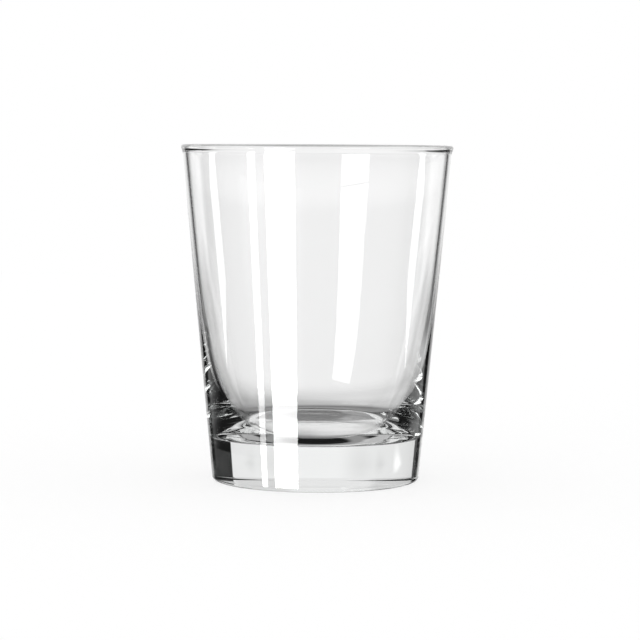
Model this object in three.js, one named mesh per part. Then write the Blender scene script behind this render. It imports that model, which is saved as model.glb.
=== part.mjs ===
// A double old fashioned glass: one press-formed piece of clear soda-lime glass.
// Sizes are in millimetres. The glass stands on Z = 0 and its axis is the Z axis.

import * as THREE from 'three';

// Outside
const GLASS_HEIGHT = 108;
const RIM_RADIUS = 43.7; // the widest part of the rim's bead
const FOOT_RADIUS = 33.3; // where the line of the outer wall meets the table
const HEEL_RADIUS = 1.4; // rounding between the wall and the underside

// Rim: a bead that fire polishing draws up, thicker than the wall below it
const BEAD_WIDTH = 2.15;
const BEAD_CROWN = 0.9; // from the widest part of the bead to its top
const BEAD_TUCK = 15; // degrees by which the bead's round goes on below its widest part
const BEAD_SWELL = 0.28; // how far the bead stands out from the line of the outer wall
const BEAD_RUN = 2.15; // from the widest part of the bead down to the plain wall

// Wall and bowl
const WALL_THICKNESS = 1.55; // measured level, above the bowl
const BOWL_TOP = 98; // the inside starts to curve towards the floor here
const BOWL_DROP = 45.9; // how long the curve keeps the wall's direction
const BOWL_SPREAD = 11; // how long the curve keeps the floor's direction
const FLOOR_RADIUS = 20.9;
const FLOOR_DISH = 0.7; // how far the middle of the floor lies below its edge
const BASE_THICKNESS = 13.9; // from the table to the edge of the floor

// Underside: a flat ring to stand on, round a shallow hollow
const BEARING_WIDTH = 4.5;
const HOLLOW_DEPTH = 2;

// Facets
const SIDES = 96;
const HEEL_STEPS = 6;
const BEAD_STEPS = 5;
const RUN_STEPS = 3;
const BOWL_STEPS = 20;
const HOLLOW_STEPS = 4;
const FLOOR_STEPS = 3;

const beadLevel = GLASS_HEIGHT - BEAD_CROWN;
const beadFoot = beadLevel - BEAD_RUN;
const wallSlope = (RIM_RADIUS - BEAD_SWELL - FOOT_RADIUS) / beadLevel;
const wallLean = Math.atan(wallSlope);

// Radius of the outer wall at a height above the table
function outerRadius(height) {
  return FOOT_RADIUS + wallSlope * height;
}

// Radius of the straight part of the inner wall at a height above the table
function innerRadius(height) {
  return outerRadius(height) - WALL_THICKNESS;
}

// Points of an ellipse's arc, from one angle to another, with both ends
function arc(centre, across, up, from, to, steps) {
  const turn = new THREE.EllipseCurve(centre.x, centre.y, across, up, from, to, to < from);
  return turn.getPoints(steps);
}

// Points of a curve that leaves one point and reaches another in given directions, with both ends
function blend(start, startPull, end, endPull, steps) {
  const leave = start.clone().add(startPull);
  const reach = end.clone().add(endPull);
  return new THREE.CubicBezierCurve(start, leave, reach, end).getPoints(steps);
}

// A distance along the wall's line, upwards when positive
function alongWall(distance) {
  return new THREE.Vector2(Math.sin(wallLean), Math.cos(wallLean)).multiplyScalar(distance);
}

// Radius of the sphere that a shallow round dish is cut from
function dishSphere(edgeRadius, depth) {
  return (edgeRadius ** 2 + depth ** 2) / (2 * depth);
}

// Points of the underside's hollow, from the axis to the bearing ring
function hollowOutline(edgeRadius) {
  const sphere = dishSphere(edgeRadius, HOLLOW_DEPTH);
  const centre = new THREE.Vector2(0, HOLLOW_DEPTH - sphere);
  const halfAngle = Math.asin(edgeRadius / sphere);
  const up = Math.PI / 2;
  return arc(centre, sphere, sphere, up, up - halfAngle, HOLLOW_STEPS);
}

// Points of the underside, from the axis to the foot of the outer wall
function undersideOutline() {
  const heelCentre = new THREE.Vector2(
    outerRadius(HEEL_RADIUS) - HEEL_RADIUS / Math.cos(wallLean),
    HEEL_RADIUS,
  );
  const heel = arc(heelCentre, HEEL_RADIUS, HEEL_RADIUS, -Math.PI / 2, -wallLean, HEEL_STEPS);
  return [...hollowOutline(heelCentre.x - BEARING_WIDTH), ...heel];
}

// Points of the bead, from the outer wall over its crown to the inner wall
function beadOutline() {
  const centre = new THREE.Vector2(RIM_RADIUS - BEAD_WIDTH / 2, beadLevel);
  const tuck = THREE.MathUtils.degToRad(BEAD_TUCK);
  const crown = arc(centre, BEAD_WIDTH / 2, BEAD_CROWN, -tuck, Math.PI + tuck, 2 * BEAD_STEPS);
  const outsideEnd = crown[0];
  const insideEnd = crown[crown.length - 1];
  const outsideFoot = new THREE.Vector2(outerRadius(beadFoot), beadFoot);
  const insideFoot = new THREE.Vector2(innerRadius(beadFoot), beadFoot);
  const half = (outsideEnd.y - beadFoot) / 2;
  const inwards = Math.sin(tuck) * BEAD_WIDTH / 2;
  const below = new THREE.Vector2(-inwards, -Math.cos(tuck) * BEAD_CROWN).setLength(half);
  const mirrored = new THREE.Vector2(-below.x, below.y);
  const swell = blend(outsideFoot, alongWall(half), outsideEnd, below, RUN_STEPS);
  const taper = blend(insideEnd, mirrored, insideFoot, alongWall(half), RUN_STEPS);
  return [...swell, ...crown.slice(1), ...taper.slice(1)];
}

// Points of the inside, from the top of the bowl down to the axis
function bowlOutline() {
  const sphere = dishSphere(FLOOR_RADIUS, FLOOR_DISH);
  const centre = new THREE.Vector2(0, BASE_THICKNESS - FLOOR_DISH + sphere);
  const halfAngle = Math.asin(FLOOR_RADIUS / sphere);
  const down = -Math.PI / 2;
  const dish = arc(centre, sphere, sphere, down + halfAngle, down, FLOOR_STEPS);
  const edge = new THREE.Vector2(innerRadius(BOWL_TOP), BOWL_TOP);
  const spread = new THREE.Vector2(Math.cos(halfAngle), Math.sin(halfAngle)).multiplyScalar(BOWL_SPREAD);
  const side = blend(edge, alongWall(-BOWL_DROP), dish[0], spread, BOWL_STEPS);
  return [...side, ...dish.slice(1)];
}

// The outline of half a section, from the axis under the base, up the outside and down the inside
function outline() {
  const points = [...undersideOutline(), ...beadOutline(), ...bowlOutline()];
  points[0].x = 0;
  points[points.length - 1].x = 0;
  return points;
}

const glass = new THREE.MeshStandardMaterial({
  name: 'clear_glass',
  color: 0xf4f6f6,
  roughness: 0.03,
  metalness: 0,
  transparent: true,
  opacity: 0.35,
});

const turned = new THREE.LatheGeometry(outline(), SIDES);
turned.rotateX(Math.PI / 2);
const tumbler = new THREE.Mesh(turned, glass);
tumbler.name = 'tumbler';

const part = new THREE.Group();
part.name = 'double_old_fashioned_glass';
part.add(tumbler);

export default part;
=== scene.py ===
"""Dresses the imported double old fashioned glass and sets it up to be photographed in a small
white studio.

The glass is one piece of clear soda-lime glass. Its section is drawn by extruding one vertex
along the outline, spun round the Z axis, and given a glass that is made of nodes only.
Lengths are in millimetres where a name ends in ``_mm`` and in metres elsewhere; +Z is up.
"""

import logging
import math
from dataclasses import dataclass, field
from enum import Enum

import bpy
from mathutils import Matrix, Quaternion, Vector


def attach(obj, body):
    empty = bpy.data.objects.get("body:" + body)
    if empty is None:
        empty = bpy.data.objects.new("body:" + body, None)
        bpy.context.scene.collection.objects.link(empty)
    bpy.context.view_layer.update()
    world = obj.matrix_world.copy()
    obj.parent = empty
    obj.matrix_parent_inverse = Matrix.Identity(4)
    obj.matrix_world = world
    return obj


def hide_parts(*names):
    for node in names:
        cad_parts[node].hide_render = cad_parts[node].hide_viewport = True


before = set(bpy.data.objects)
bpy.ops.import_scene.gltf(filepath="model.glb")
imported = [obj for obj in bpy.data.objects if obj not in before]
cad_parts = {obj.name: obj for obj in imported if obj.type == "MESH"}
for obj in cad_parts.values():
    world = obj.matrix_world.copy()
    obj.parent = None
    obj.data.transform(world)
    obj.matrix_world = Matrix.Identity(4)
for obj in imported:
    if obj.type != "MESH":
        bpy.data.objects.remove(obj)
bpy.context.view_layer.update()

LOG = logging.getLogger("double_old_fashioned_glass")
MM = 0.001
RIGHT_ANGLE = math.pi / 2
MERGE_GAP = 1e-6
WHITE = "FFFFFF"

# Light crosses many faces in the bowl's corner before it leaves the glass
LIGHT_BOUNCES = 32
GLOSSY_BOUNCES = 24

# Added to a whole number, so that a count of that number is still below it
HALF_COUNT = 0.5

Point = tuple[float, float]
Tree = bpy.types.NodeTree
Socket = bpy.types.NodeSocket


def linear(hex_colour: str) -> tuple[float, float, float, float]:
    """Turns an sRGB hex colour into linear RGBA.

    Args:
        hex_colour: Six hex digits, with or without a leading ``#``.

    Returns:
        The colour as linear red, green, blue and an alpha of 1.
    """
    digits = hex_colour.lstrip("#")
    values = (int(digits[i : i + 2], 16) / 255 for i in (0, 2, 4))
    red, green, blue = (v / 12.92 if v <= 0.04045 else ((v + 0.055) / 1.055) ** 2.4 for v in values)
    return red, green, blue, 1.0


def add_node(
    tree: Tree,
    kind: str,
    settings: dict[str, object] | None = None,
    inputs: dict[str | int, object] | None = None,
    links: dict[str | int, Socket] | None = None,
) -> bpy.types.Node:
    """Adds one node to a tree with its settings, constant inputs and links.

    Args:
        tree: The node tree to add to.
        kind: The node's type name.
        settings: Values for the node's own properties.
        inputs: Constant values by input socket.
        links: Sockets to link from, by input socket.

    Returns:
        The new node.
    """
    node = tree.nodes.new(kind)
    for name, value in (settings or {}).items():
        setattr(node, name, value)
    for name, value in (inputs or {}).items():
        node.inputs[name].default_value = value
    for name, socket in (links or {}).items():
        tree.links.new(socket, node.inputs[name])
    return node


def reckon(tree: Tree, operation: str, first: Socket | float, second: Socket | float) -> Socket:
    """Works out one value from two in a tree; each is a socket or a number.

    Args:
        tree: The node tree to add to.
        operation: The operation's name, such as ``ADD``.
        first: First value.
        second: Second value.

    Returns:
        The result's socket.
    """
    values = dict(enumerate((first, second)))
    links = {i: v for i, v in values.items() if isinstance(v, Socket)}
    numbers = {i: float(v) for i, v in values.items() if i not in links}
    return add_node(tree, "ShaderNodeMath", {"operation": operation}, numbers, links).outputs[0]


def new_tree(owner: bpy.types.Material | bpy.types.World) -> Tree:
    """Gives a material or a world an empty node tree, and returns it."""
    owner.use_nodes = True
    owner.node_tree.nodes.clear()
    return owner.node_tree


def deselect_all() -> None:
    """Leaves edit mode and clears the selection."""
    if bpy.context.object and bpy.context.object.mode != "OBJECT":
        bpy.ops.object.mode_set(mode="OBJECT")
    bpy.ops.object.select_all(action="DESELECT")


class Slot(Enum):
    """Material slots of the record."""

    CLEAR_GLASS = "clear_glass"


class Node(Enum):
    """CAD nodes that the pieces stand for."""

    TUMBLER = "tumbler"


@dataclass(frozen=True)
class SodaLimeGlass:
    """Clear soda-lime glass, press formed and fire polished.

    The melt is decoloured, so it is almost without tint. The mould leaves a very shallow ripple
    that fire polishing softens, and handling leaves the polish a little uneven.
    """

    name: str = "soda_lime_glass"
    colour: str = WHITE
    ior: float = 1.52
    least_roughness: float = 0.0
    most_roughness: float = 0.012
    ripple_size_mm: float = 14.0
    ripple_depth_mm: float = 0.0025
    ripple_detail: float = 1.0
    ripple_grain: float = 0.4
    smear_size_mm: float = 22.0
    smear_detail: float = 3.0
    smear_grain: float = 0.6
    smear_starts: float = 0.5
    smear_full: float = 0.8
    melt_colour: str = "BFC4C2"
    melt_density: float = 4.5

    def make(self) -> bpy.types.Material:
        """Builds the material.

        Returns:
            The new material.
        """
        material = bpy.data.materials.new(self.name)
        tree = new_tree(material)
        place = add_node(tree, "ShaderNodeTexCoord").outputs["Object"]
        ripple = add_node(
            tree,
            "ShaderNodeTexNoise",
            inputs={
                "Scale": 1 / (self.ripple_size_mm * MM),
                "Detail": self.ripple_detail,
                "Roughness": self.ripple_grain,
            },
            links={"Vector": place},
        )
        bump = add_node(
            tree,
            "ShaderNodeBump",
            inputs={"Strength": 1.0, "Distance": self.ripple_depth_mm * MM},
            links={"Height": ripple.outputs[0]},
        )
        smear = add_node(
            tree,
            "ShaderNodeTexNoise",
            inputs={
                "Scale": 1 / (self.smear_size_mm * MM),
                "Detail": self.smear_detail,
                "Roughness": self.smear_grain,
            },
            links={"Vector": place},
        )
        polish = add_node(
            tree,
            "ShaderNodeMapRange",
            inputs={
                "From Min": self.smear_starts,
                "From Max": self.smear_full,
                "To Min": self.least_roughness,
                "To Max": self.most_roughness,
            },
            links={"Value": smear.outputs[0]},
        )
        glass = add_node(
            tree,
            "ShaderNodeBsdfPrincipled",
            inputs={
                "Base Color": linear(self.colour),
                "IOR": self.ior,
                "Transmission Weight": 1.0,
            },
            links={"Roughness": polish.outputs[0], "Normal": bump.outputs[0]},
        )
        melt = add_node(
            tree,
            "ShaderNodeVolumeAbsorption",
            inputs={"Color": linear(self.melt_colour), "Density": self.melt_density},
        )
        add_node(
            tree,
            "ShaderNodeOutputMaterial",
            links={"Surface": glass.outputs[0], "Volume": melt.outputs[0]},
        )
        return material


@dataclass(frozen=True)
class MattWhiteSheet:
    """Matt white acrylic sheet on a light table, lit from below as well as from the room.

    The glow makes it read as white all over. It has no shadow of its own, so the glass's shadow on
    the rest of the light stays faint.
    """

    name: str = "matt_white_sheet"
    colour: str = WHITE
    glow: float = 0.72

    def make(self) -> bpy.types.Material:
        """Builds the material.

        Returns:
            The new material.
        """
        material = bpy.data.materials.new(self.name)
        tree = new_tree(material)
        colour = {"Color": linear(self.colour)}
        sheet = add_node(tree, "ShaderNodeBsdfDiffuse", inputs=colour)
        below = add_node(tree, "ShaderNodeEmission", inputs={**colour, "Strength": 1.0})
        lit = add_node(
            tree,
            "ShaderNodeMixShader",
            inputs={0: self.glow},
            links={1: sheet.outputs[0], 2: below.outputs[0]},
        )
        add_node(tree, "ShaderNodeOutputMaterial", links={"Surface": lit.outputs[0]})
        return material


@dataclass
class Tumbler:
    """The whole glass: bead, leaning wall, bowl, solid base, heel and underside.

    The sizes are the ones that the CAD part is built from. The steps are finer than the part's, so
    that no facets show in the glass.
    """

    height_mm: float = 108.0
    rim_radius_mm: float = 43.7
    foot_radius_mm: float = 33.3
    heel_radius_mm: float = 1.4
    bead_width_mm: float = 2.15
    bead_crown_mm: float = 0.9
    bead_tuck_deg: float = 15.0
    bead_swell_mm: float = 0.28
    bead_run_mm: float = 2.15
    wall_mm: float = 1.55
    bowl_top_mm: float = 98.0
    bowl_drop_mm: float = 45.9
    bowl_spread_mm: float = 11.0
    floor_radius_mm: float = 20.9
    floor_dish_mm: float = 0.7
    base_mm: float = 13.9
    bearing_width_mm: float = 4.5
    hollow_depth_mm: float = 2.0
    sides: int = 256
    hollow_steps: int = 16
    heel_steps: int = 20
    outer_wall_steps: int = 24
    run_steps: int = 10
    crown_steps: int = 28
    inner_wall_steps: int = 6
    bowl_steps: int = 64
    floor_steps: int = 16
    finish: SodaLimeGlass = field(default_factory=SodaLimeGlass)

    @property
    def bead_level_mm(self) -> float:
        """Height of the widest part of the bead."""
        return self.height_mm - self.bead_crown_mm

    @property
    def slope(self) -> float:
        """How far the outer wall moves out for each millimetre up."""
        return (self.rim_radius_mm - self.bead_swell_mm - self.foot_radius_mm) / self.bead_level_mm

    @property
    def lean(self) -> float:
        """Angle of the wall from upright, in radians."""
        return math.atan(self.slope)

    def outer(self, height_mm: float) -> float:
        """Radius of the outer wall at a height."""
        return self.foot_radius_mm + self.slope * height_mm

    def inner(self, height_mm: float) -> float:
        """Radius of the straight inner wall at a height."""
        return self.outer(height_mm) - self.wall_mm

    def along_wall(self, point: Point, distance: float) -> Point:
        """A point moved along the wall's line, upwards when the distance is positive."""
        return point[0] + math.sin(self.lean) * distance, point[1] + math.cos(self.lean) * distance

    @staticmethod
    def arc(
        centre: Point, across: float, up: float, start: float, end: float, steps: int
    ) -> list[Point]:
        """Points of an ellipse's arc with both ends.

        Args:
            centre: Centre of the ellipse.
            across: Half its width.
            up: Half its height.
            start: First angle, in radians from the +X direction.
            end: Last angle.
            steps: Number of steps.

        Returns:
            The points in order.
        """
        angles = (start + (end - start) * i / steps for i in range(steps + 1))
        return [(centre[0] + across * math.cos(a), centre[1] + up * math.sin(a)) for a in angles]

    @staticmethod
    def blend(start: Point, leave: Point, reach: Point, end: Point, steps: int) -> list[Point]:
        """Points of a cubic curve with both ends.

        Args:
            start: First point.
            leave: Handle of the first point.
            reach: Handle of the last point.
            end: Last point.
            steps: Number of steps.

        Returns:
            The points in order.
        """
        points = []
        for i in range(steps + 1):
            t = i / steps
            s = 1 - t
            weights = (s**3, 3 * s * s * t, 3 * s * t * t, t**3)
            corners = (start, leave, reach, end)
            points.append(tuple(sum(w * c[k] for w, c in zip(weights, corners)) for k in (0, 1)))
        return points

    @staticmethod
    def wall_run(start: Point, end: Point, steps: int) -> list[Point]:
        """Points along a straight wall, without its ends.

        Args:
            start: Where the wall starts.
            end: Where it ends.
            steps: Number of steps.

        Returns:
            The points in order.
        """
        shares = [i / steps for i in range(1, steps)]
        return [tuple(start[k] + (end[k] - start[k]) * s for k in (0, 1)) for s in shares]

    def underside(self) -> list[Point]:
        """Outline from the axis under the base to the top of the heel.

        Returns:
            The points in order.
        """
        heel = self.heel_radius_mm
        centre = (self.outer(heel) - heel / math.cos(self.lean), heel)
        edge = centre[0] - self.bearing_width_mm
        sphere = (edge**2 + self.hollow_depth_mm**2) / (2 * self.hollow_depth_mm)
        top = (0.0, self.hollow_depth_mm - sphere)
        last = RIGHT_ANGLE - math.asin(edge / sphere)
        hollow = self.arc(top, sphere, sphere, RIGHT_ANGLE, last, self.hollow_steps)
        return hollow + self.arc(centre, heel, heel, -RIGHT_ANGLE, -self.lean, self.heel_steps)

    def rim(self) -> list[Point]:
        """Outline of the bead, from the outer wall over the crown to the inner wall.

        Returns:
            The points in order.
        """
        level = self.bead_level_mm
        foot = level - self.bead_run_mm
        across, up = self.bead_width_mm / 2, self.bead_crown_mm
        tuck = math.radians(self.bead_tuck_deg)
        centre = (self.rim_radius_mm - across, level)
        crown = self.arc(centre, across, up, -tuck, math.pi + tuck, self.crown_steps)
        outside, inside = crown[0], crown[-1]
        half = (outside[1] - foot) / 2
        below = Vector((across * math.sin(tuck), up * math.cos(tuck))).normalized() * half
        out_foot = (self.outer(foot), foot)
        in_foot = (self.inner(foot), foot)
        out_leave, in_reach = self.along_wall(out_foot, half), self.along_wall(in_foot, half)
        out_reach = (outside[0] - below[0], outside[1] - below[1])
        in_leave = (inside[0] + below[0], inside[1] - below[1])
        swell = self.blend(out_foot, out_leave, out_reach, outside, self.run_steps)
        taper = self.blend(inside, in_leave, in_reach, in_foot, self.run_steps)
        return swell + crown[1:] + taper[1:]

    def bowl(self) -> list[Point]:
        """Outline of the inside, from the top of the bowl to the axis over the base.

        Returns:
            The points in order.
        """
        sphere = (self.floor_radius_mm**2 + self.floor_dish_mm**2) / (2 * self.floor_dish_mm)
        half = math.asin(self.floor_radius_mm / sphere)
        centre = (0.0, self.base_mm - self.floor_dish_mm + sphere)
        dish = self.arc(centre, sphere, sphere, half - RIGHT_ANGLE, -RIGHT_ANGLE, self.floor_steps)
        top = (self.inner(self.bowl_top_mm), self.bowl_top_mm)
        leave = self.along_wall(top, -self.bowl_drop_mm)
        spread = self.bowl_spread_mm
        reach = (dish[0][0] + spread * math.cos(half), dish[0][1] + spread * math.sin(half))
        return self.blend(top, leave, reach, dish[0], self.bowl_steps) + dish[1:]

    def section(self) -> list[Point]:
        """The outline of half a section, from axis to axis.

        Returns:
            The points in order, with the two ends exactly on the axis.
        """
        below, rim, bowl = self.underside(), self.rim(), self.bowl()
        points = below + self.wall_run(below[-1], rim[0], self.outer_wall_steps) + rim
        points += self.wall_run(rim[-1], bowl[0], self.inner_wall_steps) + bowl
        points[0] = (0.0, points[0][1])
        points[-1] = (0.0, points[-1][1])
        return points

    def build(self) -> bpy.types.Object:
        """Draws the section, spins it and dresses it.

        Returns:
            The finished glass.
        """
        points = [Vector((r * MM, 0.0, z * MM)) for r, z in self.section()]
        deselect_all()
        bpy.ops.mesh.primitive_plane_add(size=MM, location=(0.0, 0.0, 0.0))
        glass = bpy.context.object
        glass.name = glass.data.name = "tumbler_glass"
        bpy.ops.object.mode_set(mode="EDIT")
        bpy.ops.mesh.select_mode(type="VERT")
        bpy.ops.mesh.select_all(action="SELECT")
        bpy.ops.mesh.merge(type="CENTER")
        bpy.ops.transform.translate(value=points[0])
        for before, after in zip(points, points[1:]):
            bpy.ops.mesh.extrude_vertices_move(TRANSFORM_OT_translate={"value": after - before})
        bpy.ops.mesh.select_all(action="SELECT")
        bpy.ops.mesh.spin(
            steps=self.sides, angle=2 * math.pi, center=(0.0, 0.0, 0.0), axis=(0.0, 0.0, 1.0)
        )
        bpy.ops.mesh.select_all(action="SELECT")
        bpy.ops.mesh.remove_doubles(threshold=MERGE_GAP)
        bpy.ops.mesh.normals_make_consistent(inside=False)
        bpy.ops.object.mode_set(mode="OBJECT")
        bpy.ops.object.shade_smooth()
        glass.data.materials.append(self.finish.make())
        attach(glass, "root")
        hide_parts(Node.TUMBLER.value)
        faces = len(glass.data.polygons)
        LOG.info("%s: %d points in the section, %d faces", glass.name, len(points), faces)
        return glass


@dataclass(frozen=True)
class StripLight:
    """A soft box that stands beside the glass and faces it.

    Its bearing is counted from the camera's side, to the right when positive. It shows in the outer
    surface of the glass and not through it.
    """

    name: str
    bearing_deg: float
    width_deg: float
    heights: Point
    radiance: float
    lean_deg: float = 0.0
    distance: float = 0.7

    def build(self) -> bpy.types.Object:
        """Adds the light.

        Returns:
            The new light.
        """
        low, high = self.heights
        angle = math.radians(self.bearing_deg)
        away = Vector((math.sin(angle), -math.cos(angle), 0.0))
        middle = away * self.distance + Vector((0.0, 0.0, (low + high) / 2))
        deselect_all()
        bpy.ops.object.light_add(type="AREA", location=middle)
        lamp = bpy.context.object
        lamp.name = lamp.data.name = self.name
        facing = (-away).to_track_quat("-Z", "Y")
        lean = Quaternion((0.0, 0.0, 1.0), math.radians(self.lean_deg))
        lamp.rotation_euler = (facing @ lean).to_euler()
        lamp.data.shape = "RECTANGLE"
        lamp.data.size = 2 * self.distance * math.tan(math.radians(self.width_deg) / 2)
        lamp.data.size_y = high - low
        lamp.data.energy = self.radiance * math.pi * lamp.data.size * lamp.data.size_y
        lamp.visible_camera = False
        lamp.visible_diffuse = False
        lamp.visible_transmission = False
        LOG.info("%s: %.2f by %.2f m", self.name, lamp.data.size, lamp.data.size_y)
        return lamp


@dataclass(frozen=True)
class Sight:
    """Where a ray that leaves the glass looks, and how it came through, as sockets.

    Bearing and height are in radians. Reflections and faces are counts, and ``through`` is 1 for a
    ray that came out through a face.
    """

    bearing: Socket
    height: Socket
    reflections: Socket
    faces: Socket
    through: Socket


@dataclass(frozen=True)
class LightField:
    """A patch of the studio that shows through the glass, such as the lit backdrop.

    Bearings are counted from straight behind the glass, to the right when positive. Heights are
    angles above the horizon. The edges fade over the given angles: both sides, the low edge and the
    high edge. Patches add up, and one with negative light shades the others.
    """

    name: str
    bearings_deg: Point
    heights_deg: Point
    light: float
    fades_deg: tuple[float, float, float]

    @staticmethod
    def edge(tree: Tree, angle: Socket, at_deg: float, fade_deg: float, rises: bool) -> Socket:
        """Adds one soft edge.

        Args:
            tree: The world's node tree.
            angle: The angle's socket, in radians.
            at_deg: Where the edge is half way.
            fade_deg: How wide the edge is.
            rises: Whether the light is above the edge.

        Returns:
            A socket from 0 to 1.
        """
        node = add_node(
            tree,
            "ShaderNodeMapRange",
            {"interpolation_type": "SMOOTHSTEP"},
            {
                "From Min": math.radians(at_deg - fade_deg / 2),
                "From Max": math.radians(at_deg + fade_deg / 2),
                "To Min": 0.0 if rises else 1.0,
                "To Max": 1.0 if rises else 0.0,
            },
            {"Value": angle},
        )
        return node.outputs[0]

    def shape(self, tree: Tree, sight: Sight) -> Socket:
        """Adds the patch's light with its four soft edges.

        Args:
            tree: The world's node tree.
            sight: What is known of the ray.

        Returns:
            A socket with the patch's light.
        """
        (left, right), (low, high) = self.bearings_deg, self.heights_deg
        side_fade, low_fade, high_fade = self.fades_deg
        value = self.edge(tree, sight.bearing, left, side_fade, True)
        for factor in (
            self.edge(tree, sight.bearing, right, side_fade, False),
            self.edge(tree, sight.height, low, low_fade, True),
            self.edge(tree, sight.height, high, high_fade, False),
            self.light,
        ):
            value = reckon(tree, "MULTIPLY", value, factor)
        return value

    def add_to(self, tree: Tree, sight: Sight, seen: Socket | float) -> Socket:
        """Adds the patch's light to what is seen already, and returns the sum's socket."""
        return reckon(tree, "ADD", self.shape(tree, sight), seen)


@dataclass(frozen=True)
class LightWindow(LightField):
    """A patch that shows only along plain lines of sight, where it is the brighter.

    It counts for a ray that is reflected at most so often on its way through the glass and passes
    at most so many faces. So it keeps the base and the other sides of the glass clear, and leaves
    the bowl's dark corner, where light is reflected often, as it is.
    """

    most_reflections: int = 0
    most_faces: int = LIGHT_BOUNCES

    def add_to(self, tree: Tree, sight: Sight, seen: Socket | float) -> Socket:
        """Puts the window in front of what is seen already.

        Args:
            tree: The world's node tree.
            sight: What is known of the ray.
            seen: The light that is seen without the window.

        Returns:
            A socket with the brighter of the two.
        """
        few = reckon(tree, "LESS_THAN", sight.reflections, self.most_reflections + HALF_COUNT)
        thin = reckon(tree, "LESS_THAN", sight.faces, self.most_faces + HALF_COUNT)
        light = self.shape(tree, sight)
        for test in (few, thin, sight.through):
            light = reckon(tree, "MULTIPLY", light, test)
        return reckon(tree, "MAXIMUM", light, seen)


@dataclass
class Studio:
    """A white table in a dark room, with a lit backdrop and strip lights, as glass is photographed.

    The table itself is not seen through the glass: the patches of light stand for what is.
    """

    table_size: float = 2.4
    table_sheet: MattWhiteSheet = field(default_factory=MattWhiteSheet)
    room_light: float = 1.0
    room_dark: float = 0.012
    fields: tuple[LightField, ...] = (
        # The lit backdrop, and the table that runs up to it
        LightField("backdrop", (-58.8, 40.3), (-1.2, 29.3), 0.98, (0.8, 1.8, 17.1)),
        LightField("table_behind", (-25.6, 25.6), (-25.7, -1.1), 0.74, (5.0, 15.4, 1.8)),
        LightField("table_centre", (-13.0, 13.0), (-25.7, -1.1), 0.28, (12.0, 15.4, 1.8)),
        LightField("side_left", (-61.0, -37.6), (-9.6, 0.2), 0.85, (6.0, 5.0, 0.8)),
        LightField("side_right", (37.8, 65.6), (-10.5, -0.3), 0.85, (6.0, 5.0, 0.8)),
        LightField("table_left", (-69.2, -36.0), (-43.8, -18.2), 0.45, (7.9, 10.0, 6.1)),
        LightField("table_right", (24.9, 68.4), (-48.3, -16.5), 0.55, (7.7, 10.1, 6.1)),
        LightField("table_far", (-18.4, 23.2), (-42.1, -25.7), 0.5, (8.0, 15.9, 13.2)),
        LightField("table_far_right", (0.0, 26.0), (-43.0, -26.0), 0.2, (8.0, 5.0, 6.0)),
        LightField("table_near", (-200.0, 200.0), (-62.0, -46.0), 0.3, (4.0, 8.0, 8.0)),
        # The rest of the room, and the large soft box beside the camera
        LightField("room_left", (-157.1, -87.8), (-13.1, 33.6), 0.14, (16.4, 16.3, 14.1)),
        LightField("ceiling", (-121.1, 120.4), (41.3, 71.5), 0.28, (20.1, 16.5, 10.0)),
        LightField("backdrop_high", (-14.0, 30.0), (27.0, 46.0), 0.65, (8.0, 8.0, 12.0)),
        LightField("soft_box", (-157.5, -131.5), (7.0, 26.8), 2.2, (0.8, 2.0, 1.2)),
        # Shades: the backdrop falls off to its sides, and a dark card stands at its left
        LightField("backdrop_right", (10.2, 38.1), (4.1, 28.7), -0.15, (6.9, 4.0, 9.9)),
        LightField("backdrop_left", (-58.4, -23.6), (3.3, 29.3), -0.2, (6.9, 3.6, 9.9)),
        LightField("dark_card_left", (-62.0, -43.0), (9.0, 31.0), -0.55, (5.0, 5.0, 12.0)),
        # The soft box and the backdrop's sides, seen straight through the wall or the base
        LightWindow("soft_box_back", (-157.5, -131.5), (7.0, 26.8), 5.0, (0.8, 2.0, 1.2), 1),
        LightWindow("clear_left", (-60.0, -38.0), (4.0, 32.0), 0.8, (4.0, 4.0, 8.0), 1),
        LightWindow("clear_right", (36.0, 75.0), (13.0, 50.0), 0.7, (6.0, 6.0, 10.0), 1),
        # White surroundings for the views from the sides, from behind and from above
        LightWindow("backdrop_front", (105.0, 165.0), (6.0, 36.0), 0.75, (14.0, 8.0, 10.0), 1),
        LightWindow("backdrop_side", (-104.0, -76.0), (-45.0, 11.0), 1.0, (12.0, 10.0, 6.0)),
        LightWindow("table_side", (-58.0, -32.0), (-60.0, -19.0), 1.0, (12.0, 10.0, 6.0)),
        LightWindow("table_front_left", (-200.0, -75.0), (-95.0, -8.0), 1.0, (14.0, 4.0, 6.0)),
        LightWindow("table_front_right", (75.0, 200.0), (-95.0, -8.0), 1.0, (14.0, 4.0, 6.0)),
        LightWindow("table_below_left", (-200.0, -43.0), (-95.0, -53.0), 1.0, (14.0, 4.0, 10.0)),
        LightWindow("table_below_right", (43.0, 200.0), (-95.0, -53.0), 1.0, (14.0, 4.0, 10.0)),
        LightWindow(
            "table_below", (-200.0, 200.0), (-95.0, -60.0), 0.95, (4.0, 4.0, 8.0), most_faces=2
        ),
    )
    strips: tuple[StripLight, ...] = (
        StripLight("soft_box_low", -31.6, 26.0, (-0.262, 0.0), 16.5),
        StripLight("strip_far_left", -56.7, 7.0, (-0.238, 0.01), 10.0),
        StripLight("strip_side_left", -98.0, 8.3, (-0.09, 0.04), 4.0, lean_deg=28.0),
        StripLight("strip_side_right", 98.0, 8.3, (-0.09, 0.04), 4.0, lean_deg=-28.0),
    )

    def build(self) -> None:
        """Adds the table, the room's light and the lamps."""
        self.build_table()
        self.build_room()
        for strip in self.strips:
            strip.build()

    def build_table(self) -> None:
        """Adds the table top as a plain pale sheet that the glass's shadow falls on."""
        deselect_all()
        bpy.ops.mesh.primitive_plane_add(size=self.table_size, location=(0.0, 0.0, 0.0))
        table = bpy.context.object
        table.name = table.data.name = "table_top"
        table.data.materials.append(self.table_sheet.make())
        table.visible_glossy = False
        table.visible_transmission = False
        LOG.info("%s: %s m", table.name, tuple(round(v, 3) for v in table.dimensions))

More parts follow.
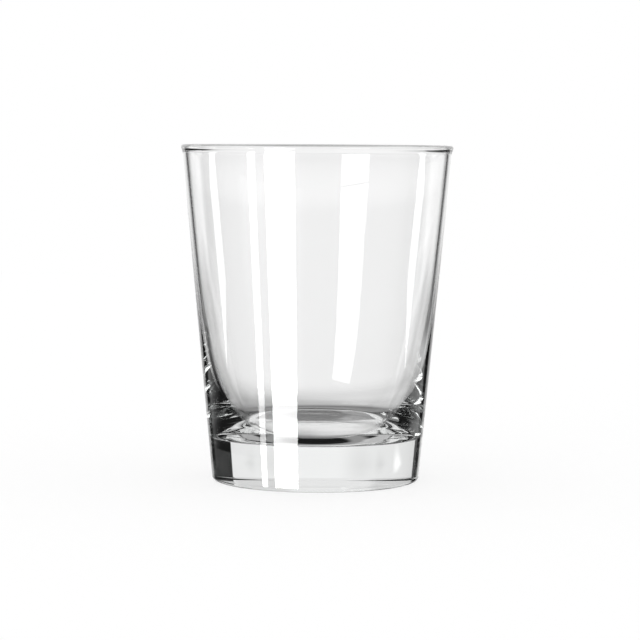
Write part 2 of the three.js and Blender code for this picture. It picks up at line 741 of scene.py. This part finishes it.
    def build_room(self) -> None:
        """Makes the world: white to the camera and as light, the studio's patches through glass."""
        world = bpy.data.worlds.new("studio_room")
        bpy.context.scene.world = world
        tree = new_tree(world)
        path = add_node(tree, "ShaderNodeLightPath").outputs
        towards = add_node(tree, "ShaderNodeTexCoord").outputs["Generated"]
        way = add_node(tree, "ShaderNodeSeparateXYZ", links={0: towards}).outputs
        sight = Sight(
            bearing=reckon(tree, "ARCTAN2", way["X"], way["Y"]),
            height=reckon(tree, "ARCSINE", way["Z"], 0.0),
            reflections=path["Glossy Depth"],
            faces=path["Transmission Depth"],
            through=path["Is Transmission Ray"],
        )
        glass_sees = self.room_dark
        for patch in self.fields:
            glass_sees = patch.add_to(tree, sight, glass_sees)
        bounced = reckon(tree, "MINIMUM", path["Diffuse Depth"], 1.0)
        plain = reckon(tree, "MAXIMUM", path["Is Camera Ray"], bounced)
        room = add_node(
            tree,
            "ShaderNodeMix",
            {"data_type": "FLOAT"},
            {"B": self.room_light},
            {"Factor": plain, "A": glass_sees},
        )
        light = add_node(
            tree,
            "ShaderNodeBackground",
            inputs={"Color": linear(WHITE)},
            links={"Strength": room.outputs[0]},
        )
        add_node(tree, "ShaderNodeOutputWorld", links={"Surface": light.outputs[0]})
        LOG.info("%s: %d patches of light", world.name, len(self.fields))


@dataclass(frozen=True)
class StudioCamera:
    """The photograph's viewpoint: level with the rim, a long lens."""

    distance: float = 0.830
    eye_height: float = 0.11115
    aim: tuple[float, float, float] = (0.0012, 0.0, 0.05166)
    roll_deg: float = 0.356
    lens_mm: float = 145.16
    sensor_mm: float = 36.0
    nearest: float = 0.01

    def build(self) -> bpy.types.Object:
        """Adds the camera and makes it the scene's.

        Returns:
            The new camera.
        """
        eye = Vector((0.0, -self.distance, self.eye_height))
        turn = (Vector(self.aim) - eye).to_track_quat("-Z", "Y")
        turn = turn @ Quaternion((0.0, 0.0, 1.0), math.radians(self.roll_deg))
        deselect_all()
        bpy.ops.object.camera_add(location=eye, rotation=turn.to_euler())
        camera = bpy.context.object
        camera.name = camera.data.name = "studio_camera"
        camera.data.lens = self.lens_mm
        camera.data.sensor_width = self.sensor_mm
        camera.data.clip_start = self.nearest
        bpy.context.scene.camera = camera
        LOG.info("%s: %.0f mm lens, %.2f m away", camera.name, self.lens_mm, self.distance)
        return camera


def main() -> None:
    """Builds the glass, the studio and the camera."""
    logging.basicConfig(level=logging.INFO, format="%(name)s: %(message)s")
    scene = bpy.context.scene
    scene.view_settings.view_transform = "Standard"
    scene.cycles.max_bounces = LIGHT_BOUNCES
    scene.cycles.glossy_bounces = GLOSSY_BOUNCES
    scene.cycles.transmission_bounces = LIGHT_BOUNCES
    Tumbler().build()
    Studio().build()
    StudioCamera().build()


if __name__ == "__main__":
    main()
